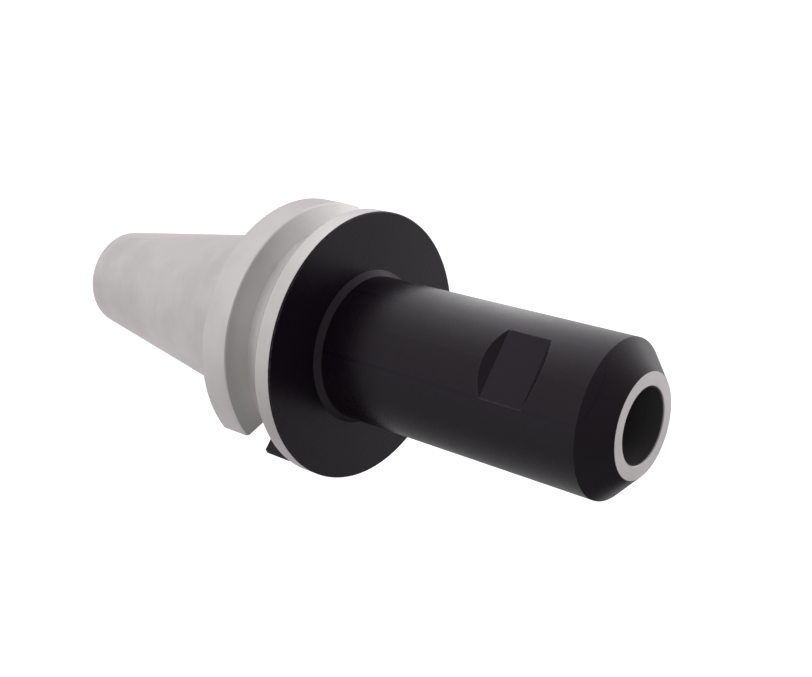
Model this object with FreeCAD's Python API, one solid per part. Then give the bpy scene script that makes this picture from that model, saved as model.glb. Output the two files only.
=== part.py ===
import FreeCAD, Part
import math
import os

# Side-lock endmill holder on a 7/24 steep taper shank, with its two set screws.
# Millimetres. Z is the tool axis with the nose up, and the gauge plane is z = 0.
# The blank milled flat faces +X, the set screws come in from -X, the drive slots face +Y and -Y.

os.makedirs("parts", exist_ok=True)

# Taper shank
gauge_diameter = 69.85
taper_rate = 7.0 / 24.0
taper_length = 101.8
small_end_chamfer = 1.0
neck_relief = 0.5

# Pull stud seat in the small end
stud_thread_diameter = 24.0
stud_thread_length = 45.0
stud_drill_diameter = 21.0
stud_drill_run = 5.0
stud_pilot_diameter = 25.0
stud_pilot_depth = 8.0
stud_mouth_chamfer = 1.0

# Flange
flange_diameter = 100.0
flange_rear_z = 3.0
flange_front_z = 38.0
rear_edge_chamfer = 1.0
front_edge_chamfer = 0.4

# Gripper groove round the flange
groove_centre_z = 23.2
groove_opening = 15.0
groove_floor_diameter = 86.0
groove_half_angle = 30.0
rear_lip_chamfer = 0.3
front_lip_chamfer = 0.3

# Drive slots across the rear ring
slot_width = 25.7
slot_floor_radius = 35.4
slot_edge_chamfer = 1.0
slot_corner_radius = 1.5

# Body and nose
body_diameter = 53.5
root_bevel = 2.0
nose_z = 152.4
nose_cone_length = 8.6
nose_face_diameter = 35.0

# Tool bore and the hole through to the pull stud
bore_diameter = 25.4
bore_depth = 68.0
bore_mouth_chamfer = 0.4
through_hole_diameter = 11.0
drill_point_half_angle = 59.0

# Milled flats
flat_depth = 3.0
flat_end_slope = 45.0
blank_flat_length = 16.0
screw_flat_margin = 1.5

# Set screws
screw_diameter = 19.05
screw_length = 12.7
screw_end_chamfer = 1.2
screw_tip_diameter = 14.0
screw_hole_clearance = 0.07
screw_hole_chamfer = 0.6
first_screw_from_nose = 24.0
screw_spacing = 25.0
screw_tip_gap = 0.4
socket_across_flats = 9.525
socket_depth = 6.0
socket_lead_in = 0.5

# Worked out from the sizes above
gauge_radius = gauge_diameter / 2
flange_radius = flange_diameter / 2
body_radius = body_diameter / 2
bore_radius = bore_diameter / 2
through_radius = through_hole_diameter / 2
screw_radius = screw_diameter / 2
small_end_z = -taper_length
small_end_radius = gauge_radius - taper_length * taper_rate / 2
stud_thread_radius = stud_thread_diameter / 2
stud_drill_radius = stud_drill_diameter / 2
stud_pilot_radius = stud_pilot_diameter / 2
groove_floor_radius = groove_floor_diameter / 2
groove_wall_run = (flange_radius - groove_floor_radius) * math.tan(math.radians(groove_half_angle))
front_screw_z = nose_z - first_screw_from_nose
rear_screw_z = front_screw_z - screw_spacing
flats_centre_z = (front_screw_z + rear_screw_z) / 2
past_surface = 2.0


def point(x, y, z):
    return FreeCAD.Vector(x, y, z)


def turned(profile):
    """Solid turned round Z from a closed outline of (radius, z) points."""
    corners = [point(r, 0, z) for r, z in profile]
    face = Part.Face(Part.makePolygon(corners + corners[:1]))
    return face.revolve(point(0, 0, 0), point(0, 0, 1), 360)


def prism(corners, direction):
    """Solid pulled from a closed outline along a direction."""
    face = Part.Face(Part.makePolygon(corners + corners[:1]))
    return face.extrude(direction)


def shank_outline():
    """Taper from the small end up to the rear face of the flange."""
    taper_slope = taper_rate / 2
    chamfer_top = small_end_radius + small_end_chamfer * taper_slope
    neck_radius = gauge_radius - neck_relief
    return [
        (small_end_radius - small_end_chamfer, small_end_z),
        (chamfer_top, small_end_z + small_end_chamfer),
        (gauge_radius, 0),
        (neck_radius, neck_relief),
        (neck_radius, flange_rear_z),
    ]


def flange_outline():
    """Rear ring, V-groove and front ring."""
    wall = 1 / math.tan(math.radians(groove_half_angle))
    rear_lip_z = groove_centre_z - groove_opening / 2
    front_lip_z = groove_centre_z + groove_opening / 2
    return [
        (flange_radius - rear_edge_chamfer, flange_rear_z),
        (flange_radius, flange_rear_z + rear_edge_chamfer),
        (flange_radius, rear_lip_z - rear_lip_chamfer),
        (flange_radius - rear_lip_chamfer, rear_lip_z + rear_lip_chamfer / wall),
        (groove_floor_radius, rear_lip_z + groove_wall_run),
        (groove_floor_radius, front_lip_z - groove_wall_run),
        (flange_radius - front_lip_chamfer, front_lip_z - front_lip_chamfer / wall),
        (flange_radius, front_lip_z + front_lip_chamfer),
        (flange_radius, flange_front_z - front_edge_chamfer),
        (flange_radius - front_edge_chamfer, flange_front_z),
    ]


def body_outline():
    """Root bevel, cylindrical body and nose cone."""
    return [
        (body_radius + root_bevel, flange_front_z),
        (body_radius, flange_front_z + root_bevel),
        (body_radius, nose_z - nose_cone_length),
        (nose_face_diameter / 2, nose_z),
    ]


def inner_outline():
    """Tool bore, through hole, pull stud thread and pilot, from the nose down."""
    drill = math.tan(math.radians(drill_point_half_angle))
    bore_floor_z = nose_z - bore_depth
    stud_thread_end_z = small_end_z + stud_pilot_depth + stud_thread_length
    stud_drill_end_z = stud_thread_end_z + stud_drill_run
    return [
        (bore_radius + bore_mouth_chamfer, nose_z),
        (bore_radius, nose_z - bore_mouth_chamfer),
        (bore_radius, bore_floor_z),
        (through_radius, bore_floor_z - (bore_radius - through_radius) / drill),
        (through_radius, stud_drill_end_z + (stud_drill_radius - through_radius) / drill),
        (stud_drill_radius, stud_drill_end_z),
        (stud_drill_radius, stud_thread_end_z),
        (stud_thread_radius, stud_thread_end_z),
        (stud_thread_radius, small_end_z + stud_pilot_depth),
        (stud_pilot_radius, small_end_z + stud_pilot_depth),
        (stud_pilot_radius, small_end_z + stud_mouth_chamfer),
        (stud_pilot_radius + stud_mouth_chamfer, small_end_z),
    ]


def drive_slot():
    """Cutter for the +Y drive slot. It ends at the front edge of the groove's floor."""
    half = slot_width / 2
    outer = flange_radius + past_surface
    chamfer_start = math.sqrt(flange_radius ** 2 - half ** 2) - slot_edge_chamfer
    flare = half + outer - chamfer_start
    start_z = flange_rear_z - past_surface
    end_z = groove_centre_z + groove_opening / 2 - groove_wall_run
    outline = [
        (-half, slot_floor_radius),
        (half, slot_floor_radius),
        (half, chamfer_start),
        (flare, outer),
        (-flare, outer),
        (-half, chamfer_start),
    ]
    cutter = prism([point(x, y, start_z) for x, y in outline], point(0, 0, end_z - start_z))
    floor_edges = [edge for edge in cutter.Edges if is_floor_edge(edge)]
    return cutter.makeFillet(slot_corner_radius, floor_edges)


def is_floor_edge(edge):
    """True for the two long edges at the foot of the slot's walls."""
    first, last = edge.Vertexes[0].Point, edge.Vertexes[-1].Point
    along_axis = abs(first.z - last.z) > 1 and abs(first.x - last.x) < 0.001
    return along_axis and abs(first.y - slot_floor_radius) < 0.001


def milled_flat(floor_length):
    """Cutter for a flat on the +X side of the body, with sloped ends."""
    floor_x = body_radius - flat_depth
    outer_x = body_radius + past_surface
    half = floor_length / 2
    half_outer = half + (outer_x - floor_x) * math.tan(math.radians(flat_end_slope))
    outline = [
        (floor_x, flats_centre_z - half),
        (outer_x, flats_centre_z - half_outer),
        (outer_x, flats_centre_z + half_outer),
        (floor_x, flats_centre_z + half),
    ]
    corners = [point(x, -body_radius - past_surface, z) for x, z in outline]
    return prism(corners, point(0, 2 * (body_radius + past_surface), 0))


def screw_hole(z):
    """Cutter for a set screw's hole, from the tool axis out through the -X flat."""
    radius = screw_radius + screw_hole_clearance
    flat_x = body_radius - flat_depth
    outline = [
        (0, 0),
        (radius, 0),
        (radius, flat_x - screw_hole_chamfer),
        (radius + screw_hole_chamfer + past_surface, flat_x + past_surface),
        (0, flat_x + past_surface),
    ]
    hole = turned(outline)
    hole.rotate(point(0, 0, 0), point(0, 1, 0), -90)
    hole.translate(point(0, 0, z))
    return hole


def holder_body():
    solid = turned(shank_outline() + flange_outline() + body_outline() + inner_outline())
    slot = drive_slot()
    opposite_slot = slot.copy()
    opposite_slot.rotate(point(0, 0, 0), point(0, 0, 1), 180)
    screw_flat = milled_flat(screw_spacing + screw_diameter + 2 * screw_flat_margin)
    screw_flat.rotate(point(0, 0, 0), point(0, 0, 1), 180)
    cutters = [slot, opposite_slot, milled_flat(blank_flat_length), screw_flat]
    cutters += [screw_hole(front_screw_z), screw_hole(rear_screw_z)]
    for cutter in cutters:
        solid = solid.cut(cutter)
    return solid.removeSplitter()


def hex_socket():
    """Cutter for the socket, opening upward at z = 0, with a drill point and a lead-in."""
    corner_radius = socket_across_flats / math.sqrt(3)
    corners = []
    for side in range(6):
        angle = math.radians(60 * side + 30)
        corners.append(point(corner_radius * math.cos(angle), corner_radius * math.sin(angle), -socket_depth))
    socket = prism(corners, point(0, 0, socket_depth + past_surface))
    drill_radius = socket_across_flats / 2
    drill_point = drill_radius / math.tan(math.radians(drill_point_half_angle))
    drilled = Part.makeCone(0, drill_radius, drill_point, point(0, 0, -socket_depth - drill_point))
    lead_in = Part.makeCone(
        corner_radius - socket_lead_in,
        corner_radius + socket_lead_in,
        2 * socket_lead_in,
        point(0, 0, -socket_lead_in),
    )
    return socket.fuse([drilled, lead_in])


def set_screw(z):
    """Set screw at the given height, with its tip just clear of the tool bore."""
    outline = [
        (0, 0),
        (screw_tip_diameter / 2, 0),
        (screw_radius, screw_end_chamfer),
        (screw_radius, screw_length - screw_end_chamfer),
        (screw_radius - screw_end_chamfer, screw_length),
        (0, screw_length),
    ]
    socket = hex_socket()
    socket.translate(point(0, 0, screw_length))
    screw = turned(outline).cut(socket)
    screw.rotate(point(0, 0, 0), point(0, 1, 0), -90)
    screw.translate(point(-bore_radius - screw_tip_gap, 0, z))
    return screw.removeSplitter()


pieces = {
    "holder_body": holder_body(),
    "front_set_screw": set_screw(front_screw_z),
    "rear_set_screw": set_screw(rear_screw_z),
}
for name, shape in pieces.items():
    shape.exportStep("parts/" + name + ".step")
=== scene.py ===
import math

import bmesh
import bpy
from mathutils import Matrix, Vector


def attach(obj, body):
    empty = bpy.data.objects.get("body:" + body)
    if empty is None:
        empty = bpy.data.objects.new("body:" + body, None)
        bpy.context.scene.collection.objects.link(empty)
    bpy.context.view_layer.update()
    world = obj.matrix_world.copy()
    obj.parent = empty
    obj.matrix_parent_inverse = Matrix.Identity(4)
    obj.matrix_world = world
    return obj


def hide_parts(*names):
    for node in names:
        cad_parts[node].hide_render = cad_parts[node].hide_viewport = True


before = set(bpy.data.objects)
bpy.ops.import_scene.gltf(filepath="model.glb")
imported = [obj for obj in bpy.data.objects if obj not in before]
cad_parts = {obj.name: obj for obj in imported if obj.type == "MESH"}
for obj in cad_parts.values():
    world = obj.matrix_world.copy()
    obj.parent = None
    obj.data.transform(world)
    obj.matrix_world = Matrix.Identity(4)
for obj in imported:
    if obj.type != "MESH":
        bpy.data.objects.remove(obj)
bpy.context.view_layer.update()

# Metres. The tool axis is Z with the nose up, and the gauge plane is z = 0.

# Sizes of the holder that the finishes and the pull stud's thread follow
FLANGE_RADIUS = 0.050
FLANGE_REAR_Z = 0.003
FLANGE_FRONT_Z = 0.038
BODY_RADIUS = 0.02675
NOSE_Z = 0.1524
NOSE_FACE_RADIUS = 0.0175
BORE_RADIUS = 0.0127
SMALL_END_Z = -0.1018
SLOT_HALF_WIDTH = 0.01285
SLOT_FLOOR_RADIUS = 0.0354
SLOT_END_Z = 0.02666
FLAT_X = 0.02375
FLATS_Z = 0.1159
BLANK_FLAT_HALF = 0.008
SCREW_FLAT_HALF = 0.023525
STUD_THREAD_RADIUS = 0.012
STUD_THREAD_PITCH = 0.003
STUD_THREAD_LENGTH = 0.045
STUD_PILOT_DEPTH = 0.008
STUD_CREST_RADIUS = 0.0105
STUD_RUN_OUT = 0.006
STUD_LINING = 0.00003

# Set screws
SCREW_RADIUS = 0.009525
SCREW_LENGTH = 0.0127
SCREW_PITCH = 0.0254 / 16
SCREW_TIP_X = -0.0131
SCREW_TIP_RADIUS = 0.007
SCREW_CHAMFER = 0.0012
SCREW_PLACES = {"front": 0.1284, "rear": 0.1034}
SCREW_HALF_SPACING = 0.0125
SOCKET_ACROSS_FLATS = 0.009525
SOCKET_DEPTH = 0.006
DRILL_HALF_ANGLE = 59.0

# Threads. The flat lies at the major diameter, and it and the screw thread's depth are shares of the pitch.
THREAD_FLANK_ANGLE = 30.0
THREAD_FLAT = 1.0 / 8.0
SCREW_THREAD_DEPTH = 0.61343
ROUND_STEPS = 96
FLANK_STEPS = 3
MERGE_DISTANCE = 0.0000002
SHARP_ANGLE = 32.0

# Where the holder's finishes change. A mask turns on over twice its blur and starts its slack off a face.
MASK_BLUR = 0.00004
MASK_SLACK = 0.0001
RIM_BLACK_WIDTH = 0.0007
NOSE_FACE_DEPTH = 0.00006
BORE_MOUTH_DEPTH = 0.0005
BORE_MOUTH_START = 0.00008
BORE_MOUTH_RADIUS = 0.0135
BORE_MOUTH_SHADE = (0.0002, 0.0006, 0.6)
HOLES_RADIUS = 0.0139
SLOT_FLARE = 0.0014
SLOT_CORNER = 0.0016
SLOT_FLOOR_SLACK = 0.0002
SIDEWAYS = 0.5
FLAT_REACH = 0.0003
FINER_RADIUS = 0.036
FINER_REAR_SLACK = 0.001

# Ground steel
GROUND_DARKER = (0.587, 0.566, 0.553, 1)
GROUND_LIGHTER = (0.641, 0.620, 0.607, 1)
LINES_DARKEN = (0.975, 0.975, 0.975, 1)
BANDS_DARKEN = (0.982, 0.982, 0.985, 1)
GROUND_ROUGH = (0.48, 0.54)
BANDS_ROUGH = (-0.01, 0.01)
FINER_BY = 0.14

# Black oxide
OXIDE_DARKER = (0.0074, 0.0043, 0.0078, 1)
OXIDE_LIGHTER = (0.0096, 0.0062, 0.0102, 1)
OXIDE_ROUGH = (0.25, 0.31)
OXIDE_SPECULAR = 0.27
OXIDE_TINT = (1.0, 0.92, 1.0, 1)
FLAT_COLOUR = (0.005, 0.002, 0.0085, 1)
BORE_COLOUR = (0.062, 0.058, 0.06, 1)
# Painted light: the pull stud's hole is lighter than the oxide so that its thread shows in the hole's shade
STUD_HOLE_PAINTED_LIGHT_COLOUR = (0.16, 0.155, 0.16, 1)
MARKS_ROUGH = (-0.02, 0.03)

# Set screw steel
SCREW_DARKER = (0.010, 0.0085, 0.011, 1)
SCREW_LIGHTER = (0.018, 0.016, 0.019, 1)
SCREW_ROUGH = (0.30, 0.42)
SCREW_SPECULAR = 0.45

# Marks of turning: noise scales round and along the axis, and detail. Some of the radius is added to the
# height, so that faces square to the axis get rings too.
FINE_LINES = (60.0, 5200.0, 3.0)
BROAD_BANDS = (18.0, 260.0, 2.0)
LINES_UNEVEN = 0.6
RADIUS_SHARE = 1.7

# Marks of milling: noise scales across and along the holder
MILLING_LINES = (90.0, 3600.0)

# Noise over the surface: scale, detail and roughness, and the range where most of it lies
CLOUD = (45.0, 3.0, 0.55)
CLOUD_RANGE = (0.35, 0.65)
GRAIN = (900.0, 3.0, 0.6)
SCREW_CLOUD = (160.0, 3.0, 0.5)
SCREW_GRAIN = (1400.0, 3.0, 0.6)
NOISE_RANGE = (0.3, 0.7)

# Bump: strength and depth
HOLDER_BUMP = (0.6, 0.00003)
SCREW_BUMP = (0.3, 0.00002)

# Wear, and on the holder a painted highlight. Each worn edge is a radius, a height or depth from the end,
# and the width of the wear. The edges of the flats have a width and a strength, and a screw's crests have
# two depths and a strength. The grain's range maps to shares of the width, and the wear is full up to a
# share of what that leaves.
# On the holder's edges the lighter, partly metallic colour is partly real wear and partly a painted
# highlight.
EDGE_GRAIN = (0.35, 0.7, 0.4, 1.0)
EDGE_FULL = 0.5
WEAR_AND_HIGHLIGHT_COLOUR = (0.16, 0.155, 0.16, 1)
EDGE_WEAR_AND_HIGHLIGHT = [
    (FLANGE_RADIUS - 0.0002, FLANGE_FRONT_Z, 0.00030),
    (FLANGE_RADIUS, FLANGE_FRONT_Z - RIM_BLACK_WIDTH, 0.00020),
    (NOSE_FACE_RADIUS, NOSE_Z, 0.00025),
]
FLAT_SIDE_WEAR_AND_HIGHLIGHT = (0.00028, 0.5)
FLAT_END_WEAR_AND_HIGHLIGHT = (0.00045, 0.3)
WEAR_AND_HIGHLIGHT_STRENGTH = 0.4
WEAR_AND_HIGHLIGHT_METAL = 0.5
SCREW_WORN_EDGES = [
    (0.0055, 0.0, 0.00035),
    (0.00833, 0.0, 0.00025),
    (SCREW_RADIUS, SCREW_CHAMFER, 0.0003),
]
SCREW_WORN_CREST = (0.00025, 0.00005, 0.5)
SCREW_WORN_STRENGTH = 0.6
SCREW_WORN_METAL = 0.6

# Camera, fitted to the outlines in the photograph
CAMERA_PLACE = (0.33059, 0.08594, 0.31439)
CAMERA_AIM = (0.00167, -0.00643, 0.05391)
CAMERA_ROLL = -105.45
CAMERA_LENS = 52.94
SENSOR_WIDTH = 36.0

# Sky. It is nearly black but for soft lobes, each with a direction and a strength.
SKY_LOBES = [
    ((-0.75, -0.65, 0.2), 1.38),
    ((-0.75, 0.65, 0.2), 0.05),
    ((0.0, -1.0, 0.1), 0.55),
    ((0.75, -0.65, 0.2), 0.38),
    ((1.0, 0.0, 0.15), 0.18),
    ((0.0, 1.0, 0.15), 0.6),
    ((0.0, -0.7, 0.7), 0.25),
    ((0.0, 0.7, 0.7), 0.12),
    ((0.7, 0.2, 0.7), 0.42),
]
LOBE_POWER = 4.0
SKY_BASE = 0.01
WHITE = (1, 1, 1, 1)

# Floor. Its glow is what reflections see. Near and far glows have a start, an end and a strength.
FLOOR_SIZE = 8.0
FLOOR_GAP = 0.00005
FLOOR_COLOUR = (0.8, 0.8, 0.8, 1)
FLOOR_ROUGH = 0.9
FLOOR_WHITE_SEEN = 0.82
NEAR_GLOW = (0.06, 0.26, 0.59)
FAR_GLOW = (0.16, 0.32, 2.25)
FAR_FADE = (0.26, 0.5, 0.4)
SIDE_GLOW_X = 0.54
SIDE_GLOW_Y = 0.18
LEAST_DISTANCE = 0.001

# Key lamp
KEY_PLACE = (0.05, -0.42, 0.42)
KEY_AIM = (0, 0, 0.03)
KEY_SIZE = 0.3
KEY_POWER = 0.3


def camera_rotation():
    """Rotation that looks from the camera's place to its aim, rolled about the line of sight."""
    line = Vector(CAMERA_AIM) - Vector(CAMERA_PLACE)
    level = line.to_track_quat("-Z", "Y").to_matrix()
    return level @ Matrix.Rotation(math.radians(-CAMERA_ROLL), 3, "Z")


def make_camera():
    data = bpy.data.cameras.new("camera")
    data.lens = CAMERA_LENS
    data.sensor_width = SENSOR_WIDTH
    camera = bpy.data.objects.new("camera", data)
    camera.matrix_world = Matrix.Translation(CAMERA_PLACE) @ camera_rotation().to_4x4()
    bpy.context.collection.objects.link(camera)
    bpy.context.scene.camera = camera


class Nodes:
    """Short ways to add and link the nodes of one node tree."""

    def __init__(self, tree):
        self.tree = tree

    def add(self, kind, **settings):
        node = self.tree.nodes.new(kind)
        for name, value in settings.items():
            setattr(node, name, value)
        return node

    def link(self, value, socket):
        if isinstance(value, bpy.types.NodeSocket):
            self.tree.links.new(value, socket)
        else:
            socket.default_value = value

    def fill(self, values, sockets):
        for value, socket in zip(values, sockets):
            self.link(value, socket)

    def math(self, operation, *values, clamp=False):
        node = self.add("ShaderNodeMath", operation=operation, use_clamp=clamp)
        self.fill(values, node.inputs)
        return node.outputs[0]

    def plus(self, first, second, clamp=False):
        return self.math("ADD", first, second, clamp=clamp)

    def minus(self, first, second, clamp=False):
        return self.math("SUBTRACT", first, second, clamp=clamp)

    def times(self, first, second):
        return self.math("MULTIPLY", first, second)

    def off(self, value, place):
        """Distance of a value from a place, without its sign."""
        return self.math("ABSOLUTE", self.minus(value, place))

    def length(self, first, second):
        squares = [self.times(value, value) for value in (first, second)]
        return self.math("SQRT", self.plus(*squares))

    def both(self, *masks):
        result = masks[0]
        for mask in masks[1:]:
            result = self.times(result, mask)
        return result

    def either(self, *masks):
        result = masks[0]
        for mask in masks[1:]:
            result = self.math("MAXIMUM", result, mask)
        return result

    def ramp(self, value, low, high, to_low=0.0, to_high=1.0, smooth=True):
        """Value mapped from low..high to to_low..to_high, held at the ends."""
        node = self.add("ShaderNodeMapRange", clamp=True)
        node.interpolation_type = "SMOOTHSTEP" if smooth else "LINEAR"
        self.fill((value, low, high, to_low, to_high), node.inputs)
        return node.outputs["Result"]

    def above(self, value, limit):
        return self.ramp(value, limit - MASK_BLUR, limit + MASK_BLUR, smooth=False)

    def below(self, value, limit):
        return self.ramp(value, limit - MASK_BLUR, limit + MASK_BLUR, 1.0, 0.0, smooth=False)

    def spread(self, noise, to_low=0.0, to_high=1.0):
        """Noise stretched from the range where most of it lies."""
        return self.ramp(noise, *NOISE_RANGE, to_low, to_high)

    def mix(self, factor, first, second, blend="MIX"):
        node = self.add("ShaderNodeMix", data_type="RGBA", blend_type=blend)
        self.fill((factor, first, second), (node.inputs["Factor"], node.inputs[6], node.inputs[7]))
        return node.outputs[2]

    def mix_value(self, factor, first, second):
        node = self.add("ShaderNodeMix", data_type="FLOAT")
        self.fill((factor, first, second), (node.inputs[0], node.inputs[2], node.inputs[3]))
        return node.outputs[0]

    def noise(self, vector, scale, detail=2.0, roughness=0.5):
        node = self.add("ShaderNodeTexNoise")
        self.link(vector, node.inputs["Vector"])
        self.link(scale, node.inputs["Scale"])
        self.link(detail, node.inputs["Detail"])
        self.link(roughness, node.inputs["Roughness"])
        return node.outputs["Fac"]

    def combine(self, x, y, z):
        node = self.add("ShaderNodeCombineXYZ")
        self.fill((x, y, z), node.inputs)
        return node.outputs[0]

    def separate(self, vector):
        node = self.add("ShaderNodeSeparateXYZ")
        self.link(vector, node.inputs[0])
        return node.outputs

    def bump(self, height, strength, depth):
        node = self.add("ShaderNodeBump")
        node.inputs["Strength"].default_value = strength
        node.inputs["Distance"].default_value = depth
        self.link(height, node.inputs["Height"])
        return node.outputs[0]


def new_material(name):
    material = bpy.data.materials.new(name)
    material.use_nodes = True
    nodes = Nodes(material.node_tree)
    return material, nodes, material.node_tree.nodes["Principled BSDF"]


def turning_lines(nodes, x, y, along, lines):
    """Fine lines round the tool axis, broken up along their length."""
    round_scale, along_scale, detail = lines
    vector = nodes.combine(
        nodes.times(x, round_scale), nodes.times(y, round_scale), nodes.times(along, along_scale)
    )
    return nodes.noise(vector, 1.0, detail, LINES_UNEVEN)


def near_edge(nodes, distance, width, grain):
    """One close to an edge, fading out over a width that the grain makes uneven."""
    reach = nodes.times(nodes.ramp(grain, *EDGE_GRAIN), width)
    return nodes.ramp(nodes.math("DIVIDE", distance, reach), EDGE_FULL, 1.0, 1.0, 0.0)


def slot_mask(nodes, across, toward, z):
    """One on the walls, the floors and the ends of the drive slots."""
    normal_x = nodes.separate(nodes.add("ShaderNodeNewGeometry").outputs["True Normal"])[0]
    sideways = nodes.above(nodes.math("ABSOLUTE", normal_x), SIDEWAYS)
    between = nodes.below(across, SLOT_HALF_WIDTH)
    walls = nodes.both(nodes.below(across, SLOT_HALF_WIDTH + SLOT_FLARE), sideways)
    floor = nodes.both(between, nodes.below(toward, SLOT_FLOOR_RADIUS + SLOT_CORNER))
    end = nodes.both(between, nodes.above(z, SLOT_END_Z - MASK_SLACK))
    return nodes.both(
        nodes.either(walls, floor, end),
        nodes.above(toward, SLOT_FLOOR_RADIUS - SLOT_FLOOR_SLACK),
        nodes.above(z, FLANGE_REAR_Z + MASK_SLACK),
        nodes.below(z, SLOT_END_Z + MASK_SLACK),
    )


def nose_face_mask(nodes, z, radius):
    """One on the bright ring round the bore and the chamfer at the bore's mouth."""
    bore_mouth = nodes.both(
        nodes.above(z, NOSE_Z - BORE_MOUTH_DEPTH),
        nodes.above(radius, BORE_RADIUS + BORE_MOUTH_START),
        nodes.below(radius, BORE_MOUTH_RADIUS),
    )
    return nodes.either(nodes.above(z, NOSE_Z - NOSE_FACE_DEPTH), bore_mouth)


def wear_and_highlight_mask(nodes, x, z, radius, grain):
    """One along the edges of the flange rim, the nose face and the flats: partly oxide polished by
    handling, partly a painted highlight.
    """
    wear_and_highlight = []
    for edge_radius, edge_z, width in EDGE_WEAR_AND_HIGHLIGHT:
        distance = nodes.length(nodes.minus(radius, edge_radius), nodes.minus(z, edge_z))
        wear_and_highlight.append(near_edge(nodes, distance, width, grain))
    from_centre = nodes.off(z, FLATS_Z)
    off_round = nodes.minus(radius, BODY_RADIUS)
    side_width, side_strength = FLAT_SIDE_WEAR_AND_HIGHLIGHT
    end_width, end_strength = FLAT_END_WEAR_AND_HIGHLIGHT
    for facing, half in ((1.0, BLANK_FLAT_HALF), (-1.0, SCREW_FLAT_HALF)):
        height = nodes.minus(nodes.times(x, facing), FLAT_X)
        end_run = nodes.minus(from_centre, half)
        here = nodes.above(height, -MASK_SLACK)
        side = near_edge(nodes, nodes.length(off_round, height), side_width, grain)
        wear_and_highlight.append(nodes.both(side, here, nodes.below(end_run, MASK_SLACK), side_strength))
        slope = nodes.minus(height, end_run)
        end = near_edge(nodes, nodes.length(off_round, slope), end_width, grain)
        wear_and_highlight.append(nodes.both(end, here, end_strength))
    return nodes.either(*wear_and_highlight)


def holder_material():
    """Black oxide steel, ground bright on the taper, rims, groove, rear face, small end and nose face."""
    material, nodes, shader = new_material("holder_steel")
    place = nodes.add("ShaderNodeTexCoord").outputs["Object"]
    x, y, z = nodes.separate(place)
    radius = nodes.length(x, y)
    across, toward = nodes.math("ABSOLUTE", x), nodes.math("ABSOLUTE", y)

    # Where the oxide is left on
    front = nodes.above(z, FLANGE_FRONT_Z - RIM_BLACK_WIDTH)
    inside = nodes.below(radius, HOLES_RADIUS)
    nose_face = nose_face_mask(nodes, z, radius)
    oxide = nodes.either(front, inside, slot_mask(nodes, across, toward, z))
    black = nodes.minus(oxide, nose_face, clamp=True)

    # Marks of turning, grinding and milling
    along = nodes.plus(z, nodes.times(radius, RADIUS_SHARE))
    fine = turning_lines(nodes, x, y, along, FINE_LINES)
    broad = turning_lines(nodes, x, y, along, BROAD_BANDS)
    cloud = nodes.noise(place, *CLOUD)
    grain = nodes.noise(place, *GRAIN)
    flat = nodes.both(nodes.below(nodes.off(across, FLAT_X), FLAT_REACH), front)
    milling_y, milling_z = MILLING_LINES
    milling_place = nodes.combine(0.0, nodes.times(y, milling_y), nodes.times(z, milling_z))
    marks = nodes.mix_value(flat, fine, nodes.noise(milling_place, 1.0))
    # Edge wear and painted highlight: the oxide is made lighter and partly metallic along its edges
    wear_and_highlight = nodes.times(nodes.both(wear_and_highlight_mask(nodes, x, z, radius, grain), black), WEAR_AND_HIGHLIGHT_STRENGTH)

    # Colour
    ground = nodes.mix(nodes.ramp(cloud, *CLOUD_RANGE), GROUND_DARKER, GROUND_LIGHTER)
    ground = nodes.mix(nodes.spread(fine), ground, LINES_DARKEN, blend="MULTIPLY")
    ground = nodes.mix(nodes.spread(broad), ground, BANDS_DARKEN, blend="MULTIPLY")
    # Painted shade: the ground steel is darkened towards the bore's mouth
    shade_start, shade_end, shade = BORE_MOUTH_SHADE
    mouth_shade = nodes.ramp(radius, BORE_RADIUS + shade_start, BORE_RADIUS + shade_end, shade, 1.0)
    ground = nodes.mix(1.0, ground, mouth_shade, blend="MULTIPLY")
    dark = nodes.mix(nodes.spread(cloud), OXIDE_DARKER, OXIDE_LIGHTER)
    dark = nodes.mix(flat, dark, FLAT_COLOUR)
    # Painted light in the pull stud's hole, lighter than the oxide so that the thread shows in its shade;
    # the bore keeps its own colour
    hole = nodes.mix(nodes.above(z, FLANGE_REAR_Z), STUD_HOLE_PAINTED_LIGHT_COLOUR, BORE_COLOUR)
    dark = nodes.mix(inside, dark, hole)
    # Painted highlight with edge wear: a lighter colour along the oxide's edges
    dark = nodes.mix(wear_and_highlight, dark, WEAR_AND_HIGHLIGHT_COLOUR)
    nodes.link(nodes.mix(black, ground, dark), shader.inputs["Base Color"])

    # Roughness. The flange and the nose face have a finer finish than the taper.
    from_rear = nodes.above(z, FLANGE_REAR_Z - FINER_REAR_SLACK)
    finer = nodes.either(nodes.both(nodes.above(radius, FINER_RADIUS), from_rear), nose_face)
    ground_rough = nodes.plus(nodes.spread(fine, *GROUND_ROUGH), nodes.spread(broad, *BANDS_ROUGH))
    ground_rough = nodes.minus(ground_rough, nodes.times(finer, FINER_BY))
    black_rough = nodes.plus(nodes.spread(cloud, *OXIDE_ROUGH), nodes.spread(marks, *MARKS_ROUGH))
    nodes.link(nodes.mix_value(black, ground_rough, black_rough), shader.inputs["Roughness"])

    metal = nodes.plus(nodes.minus(1.0, black), nodes.times(wear_and_highlight, WEAR_AND_HIGHLIGHT_METAL), clamp=True)
    nodes.link(metal, shader.inputs["Metallic"])
    shader.inputs["Specular IOR Level"].default_value = OXIDE_SPECULAR
    shader.inputs["Specular Tint"].default_value = OXIDE_TINT
    nodes.link(nodes.bump(marks, *HOLDER_BUMP), shader.inputs["Normal"])
    return material


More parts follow.
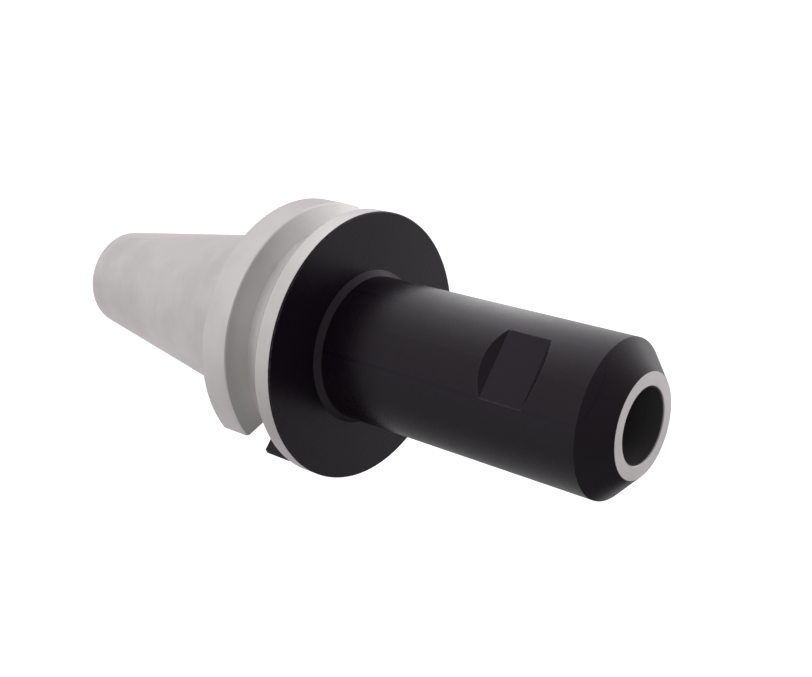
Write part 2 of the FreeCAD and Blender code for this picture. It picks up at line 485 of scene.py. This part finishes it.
def screw_material():
    """Black set screw steel, polished where the key and the flat's edge rub it."""
    material, nodes, shader = new_material("screw_steel")
    place = nodes.add("ShaderNodeTexCoord").outputs["Object"]
    x, y, z = nodes.separate(place)
    grain = nodes.noise(place, *SCREW_GRAIN)
    cloud = nodes.noise(place, *SCREW_CLOUD)
    radius = nodes.length(y, nodes.minus(nodes.off(z, FLATS_Z), SCREW_HALF_SPACING))
    wear_and_highlight = []
    for edge_radius, depth, width in SCREW_WORN_EDGES:
        off_edge = nodes.minus(radius, edge_radius)
        off_end = nodes.minus(x, SCREW_TIP_X - SCREW_LENGTH + depth)
        wear_and_highlight.append(near_edge(nodes, nodes.length(off_edge, off_end), width, grain))
    crest_start, crest_end, crest_strength = SCREW_WORN_CREST
    crest = nodes.ramp(radius, SCREW_RADIUS - crest_start, SCREW_RADIUS - crest_end, 0.0, crest_strength)
    wear_and_highlight = nodes.times(nodes.either(crest, *wear_and_highlight), SCREW_WORN_STRENGTH)
    colour = nodes.mix(cloud, SCREW_DARKER, SCREW_LIGHTER)
    nodes.link(nodes.mix(wear_and_highlight, colour, WEAR_AND_HIGHLIGHT_COLOUR), shader.inputs["Base Color"])
    nodes.link(nodes.spread(grain, *SCREW_ROUGH), shader.inputs["Roughness"])
    nodes.link(nodes.times(wear_and_highlight, SCREW_WORN_METAL), shader.inputs["Metallic"])
    shader.inputs["Specular IOR Level"].default_value = SCREW_SPECULAR
    nodes.link(nodes.bump(grain, *SCREW_BUMP), shader.inputs["Normal"])
    return material


def floor_glow(nodes):
    """White that the floor shows to reflections.

    It is a pool round the object, a brighter field on the -Y side that fades further out, and weaker fields
    on the +X and +Y sides.
    """
    x, y, _ = nodes.separate(nodes.add("ShaderNodeNewGeometry").outputs["Position"])
    distance = nodes.plus(nodes.length(x, y), LEAST_DISTANCE)

    def share(value):
        """How much of the distance lies along one direction."""
        return nodes.math("MAXIMUM", nodes.math("DIVIDE", value, distance), 0.0)

    near_start, near_end, near_strength = NEAR_GLOW
    far_start, far_end, far_strength = FAR_GLOW
    fade_start, fade_end, faded = FAR_FADE
    near = nodes.ramp(distance, near_start, near_end, 1.0, 0.0)
    far = nodes.ramp(distance, far_start, far_end, 0.0, far_strength)
    ahead = share(nodes.times(y, -1.0))
    far = nodes.both(far, ahead, ahead, nodes.ramp(distance, fade_start, fade_end, 1.0, faded))
    right = nodes.both(nodes.minus(1.0, near), nodes.times(share(x), SIDE_GLOW_X))
    behind = nodes.both(nodes.ramp(distance, fade_start, fade_end), nodes.times(share(y), SIDE_GLOW_Y))
    outer = nodes.plus(far, nodes.plus(right, behind))
    return nodes.plus(nodes.times(near, near_strength), outer)


def floor_material():
    """Pale floor that reads white, keeps the shadow, and is clear from below."""
    material, nodes, shader = new_material("floor")
    shader.inputs["Base Color"].default_value = FLOOR_COLOUR
    shader.inputs["Roughness"].default_value = FLOOR_ROUGH
    shader.inputs["Specular IOR Level"].default_value = 0.0
    shader.inputs["Emission Color"].default_value = WHITE
    path = nodes.add("ShaderNodeLightPath")
    reflected = nodes.math("MAXIMUM", path.outputs["Is Glossy Ray"], path.outputs["Is Transmission Ray"])
    seen = nodes.times(path.outputs["Is Camera Ray"], FLOOR_WHITE_SEEN)
    glow = nodes.times(reflected, floor_glow(nodes))
    nodes.link(nodes.plus(seen, glow), shader.inputs["Emission Strength"])
    clear = nodes.add("ShaderNodeBsdfTransparent")
    mixed = nodes.add("ShaderNodeMixShader")
    nodes.link(nodes.add("ShaderNodeNewGeometry").outputs["Backfacing"], mixed.inputs[0])
    nodes.link(shader.outputs[0], mixed.inputs[1])
    nodes.link(clear.outputs[0], mixed.inputs[2])
    nodes.link(mixed.outputs[0], material.node_tree.nodes["Material Output"].inputs["Surface"])
    return material


def add_object(name, mesh):
    piece = bpy.data.objects.new(name, mesh)
    bpy.context.collection.objects.link(piece)
    return piece


def make_floor():
    half = FLOOR_SIZE / 2
    mesh = bpy.data.meshes.new("floor")
    corners = [(-half, -half), (half, -half), (half, half), (-half, half)]
    mesh.from_pydata([(x, y, SMALL_END_Z - FLOOR_GAP) for x, y in corners], [], [(0, 1, 2, 3)])
    mesh.materials.append(floor_material())
    add_object("floor", mesh)


def make_world():
    """White backdrop to the camera, and soft lobes of light to the object."""
    world = bpy.data.worlds.new("studio")
    world.use_nodes = True
    nodes = Nodes(world.node_tree)
    background = world.node_tree.nodes["Background"]
    direction = nodes.add("ShaderNodeTexCoord").outputs["Generated"]
    shade = SKY_BASE
    for side, strength in SKY_LOBES:
        facing = nodes.add("ShaderNodeVectorMath", operation="DOT_PRODUCT")
        nodes.fill((direction, tuple(Vector(side).normalized())), facing.inputs)
        lobe = nodes.math("POWER", nodes.math("MAXIMUM", facing.outputs["Value"], 0.0), LOBE_POWER)
        shade = nodes.plus(shade, nodes.times(lobe, strength))
    seen = nodes.add("ShaderNodeLightPath").outputs["Is Camera Ray"]
    nodes.link(nodes.mix(seen, shade, WHITE), background.inputs["Color"])
    background.inputs["Strength"].default_value = 1.0
    bpy.context.scene.world = world


def make_key_lamp():
    """Weak disk lamp that doesn't show in reflections."""
    data = bpy.data.lights.new("key", "AREA")
    data.shape = "DISK"
    data.size = KEY_SIZE
    data.energy = KEY_POWER
    lamp = bpy.data.objects.new("key", data)
    lamp.visible_glossy = False
    aim = Vector(KEY_AIM) - Vector(KEY_PLACE)
    lamp.matrix_world = Matrix.Translation(KEY_PLACE) @ aim.to_track_quat("-Z", "Y").to_matrix().to_4x4()
    bpy.context.collection.objects.link(lamp)


def thread_places(start, end, pitch, marks, angle):
    """Places along the axis of a thread's crest and root edges at one angle, held between its two ends."""
    shift = pitch * angle / (2 * math.pi)
    turns = range(math.floor(start / pitch) - 1, math.ceil(end / pitch) + 1)
    return [min(max((turn + mark) * pitch + shift, start), end) for turn in turns for mark in marks]


def thread_form(place, pitch, angle, crest, flank):
    """Share of the thread's depth at a place: 0 on its crest, 1 on its root, and even flanks between."""
    phase = (place / pitch - angle / (2 * math.pi)) % 1.0
    if phase < crest:
        return 0.0
    if phase < crest + flank:
        return (phase - crest) / flank
    if phase < 1.0 - flank:
        return 1.0
    return (1.0 - phase) / flank


def thread_marks(crest, flank):
    """Shares of a pitch at which the form changes, with steps down each flank."""
    down = [crest + flank * step / FLANK_STEPS for step in range(FLANK_STEPS + 1)]
    up = [1.0 - flank + flank * step / FLANK_STEPS for step in range(FLANK_STEPS)]
    return [0.0] + down + up


def flank_share(depth, pitch):
    """Share of a pitch that one flank takes."""
    return depth * math.tan(math.radians(THREAD_FLANK_ANGLE)) / pitch


def swept_mesh(name, columns, closed):
    """Mesh from columns of points, one for each angle round the axis, the last one equal to the first."""
    shape = bmesh.new()
    grid = [[shape.verts.new(point) for point in column] for column in columns]
    for left, right in zip(grid, grid[1:]):
        count = len(left)
        for row in range(count if closed else count - 1):
            below = (row + 1) % count
            shape.faces.new((left[row], right[row], right[below], left[below]))
    bmesh.ops.remove_doubles(shape, verts=shape.verts, dist=MERGE_DISTANCE)
    bmesh.ops.dissolve_degenerate(shape, edges=shape.edges, dist=MERGE_DISTANCE)
    bmesh.ops.recalc_face_normals(shape, faces=shape.faces)
    mesh = bpy.data.meshes.new(name)
    shape.to_mesh(mesh)
    shape.free()
    mesh.shade_smooth()
    mesh.set_sharp_from_angle(angle=math.radians(SHARP_ANGLE))
    return mesh


def socket_section(angle):
    """Radius and place of the hex socket's points at one angle, from its mouth to its drill point."""
    half = SOCKET_ACROSS_FLATS / 2
    corner = SOCKET_ACROSS_FLATS / math.sqrt(3)
    sixth = math.pi / 3
    hexagon = half / math.cos((angle + sixth / 2) % sixth - sixth / 2)
    floor = SCREW_LENGTH - SOCKET_DEPTH
    drill_point = half / math.tan(math.radians(DRILL_HALF_ANGLE))
    return [
        (corner, SCREW_LENGTH),
        (hexagon, SCREW_LENGTH - (corner - hexagon)),
        (hexagon, floor),
        (half, floor),
        (0.0, floor - drill_point),
    ]


def set_screw_mesh(name, height):
    """Headless set screw along -X, with a flat point, an external thread and a hex socket."""
    depth = SCREW_THREAD_DEPTH * SCREW_PITCH
    flank = flank_share(depth, SCREW_PITCH)
    marks = thread_marks(THREAD_FLAT, flank)
    tip_slope = (SCREW_RADIUS - SCREW_TIP_RADIUS) / SCREW_CHAMFER
    columns = []
    for step in range(ROUND_STEPS + 1):
        angle = 2 * math.pi * step / ROUND_STEPS
        section = [(0.0, 0.0)]
        for place in thread_places(0.0, SCREW_LENGTH, SCREW_PITCH, marks, angle):
            radius = SCREW_RADIUS - depth * thread_form(place, SCREW_PITCH, angle, THREAD_FLAT, flank)
            radius = min(radius, SCREW_TIP_RADIUS + place * tip_slope)
            section.append((min(radius, SCREW_RADIUS - SCREW_CHAMFER + SCREW_LENGTH - place), place))
        section += socket_section(angle)
        columns.append([
            (SCREW_TIP_X - place, radius * math.sin(angle), height + radius * math.cos(angle))
            for radius, place in section
        ])
    return swept_mesh(name, columns, False)


def stud_thread_mesh(name):
    """Internal thread for the pull stud, with a lead-in at its mouth and a run-out at its far end."""
    depth = STUD_THREAD_RADIUS - STUD_CREST_RADIUS
    flank = flank_share(depth, STUD_THREAD_PITCH)
    crest = 1.0 - 2 * flank - THREAD_FLAT
    marks = thread_marks(crest, flank)
    start = SMALL_END_Z + STUD_PILOT_DEPTH
    end = start + STUD_THREAD_LENGTH
    lining = STUD_THREAD_RADIUS + STUD_LINING
    columns = []
    for step in range(ROUND_STEPS + 1):
        angle = 2 * math.pi * step / ROUND_STEPS
        section = []
        for place in thread_places(start, end, STUD_THREAD_PITCH, marks, angle):
            share = thread_form(place, STUD_THREAD_PITCH, angle, crest, flank)
            share *= min(1.0, (end - place) / STUD_RUN_OUT)
            radius = STUD_CREST_RADIUS + (depth - STUD_LINING) * share
            section.append((max(radius, STUD_THREAD_RADIUS - (place - start)), place))
        section += [(lining, end), (lining, start)]
        columns.append([
            (radius * math.cos(angle), radius * math.sin(angle), place) for radius, place in section
        ])
    return swept_mesh(name, columns, True)


def dress(name, material):
    piece = bpy.data.objects[name]
    piece.data.materials.clear()
    piece.data.materials.append(material)


make_camera()
make_world()
make_floor()
make_key_lamp()
holder_steel = holder_material()
screw_steel = screw_material()
dress("holder_body", holder_steel)

thread = add_object("pull_stud_thread", stud_thread_mesh("pull_stud_thread"))
thread.data.materials.append(holder_steel)
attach(thread, "holder")

for end, height in SCREW_PLACES.items():
    screw = add_object(end + "_threaded_screw", set_screw_mesh(end + "_threaded_screw", height))
    screw.data.materials.append(screw_steel)
    dress(end + "_set_screw", screw_steel)
    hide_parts(end + "_set_screw")
    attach(screw, end + "_screw")

bpy.context.scene.view_settings.view_transform = "Standard"
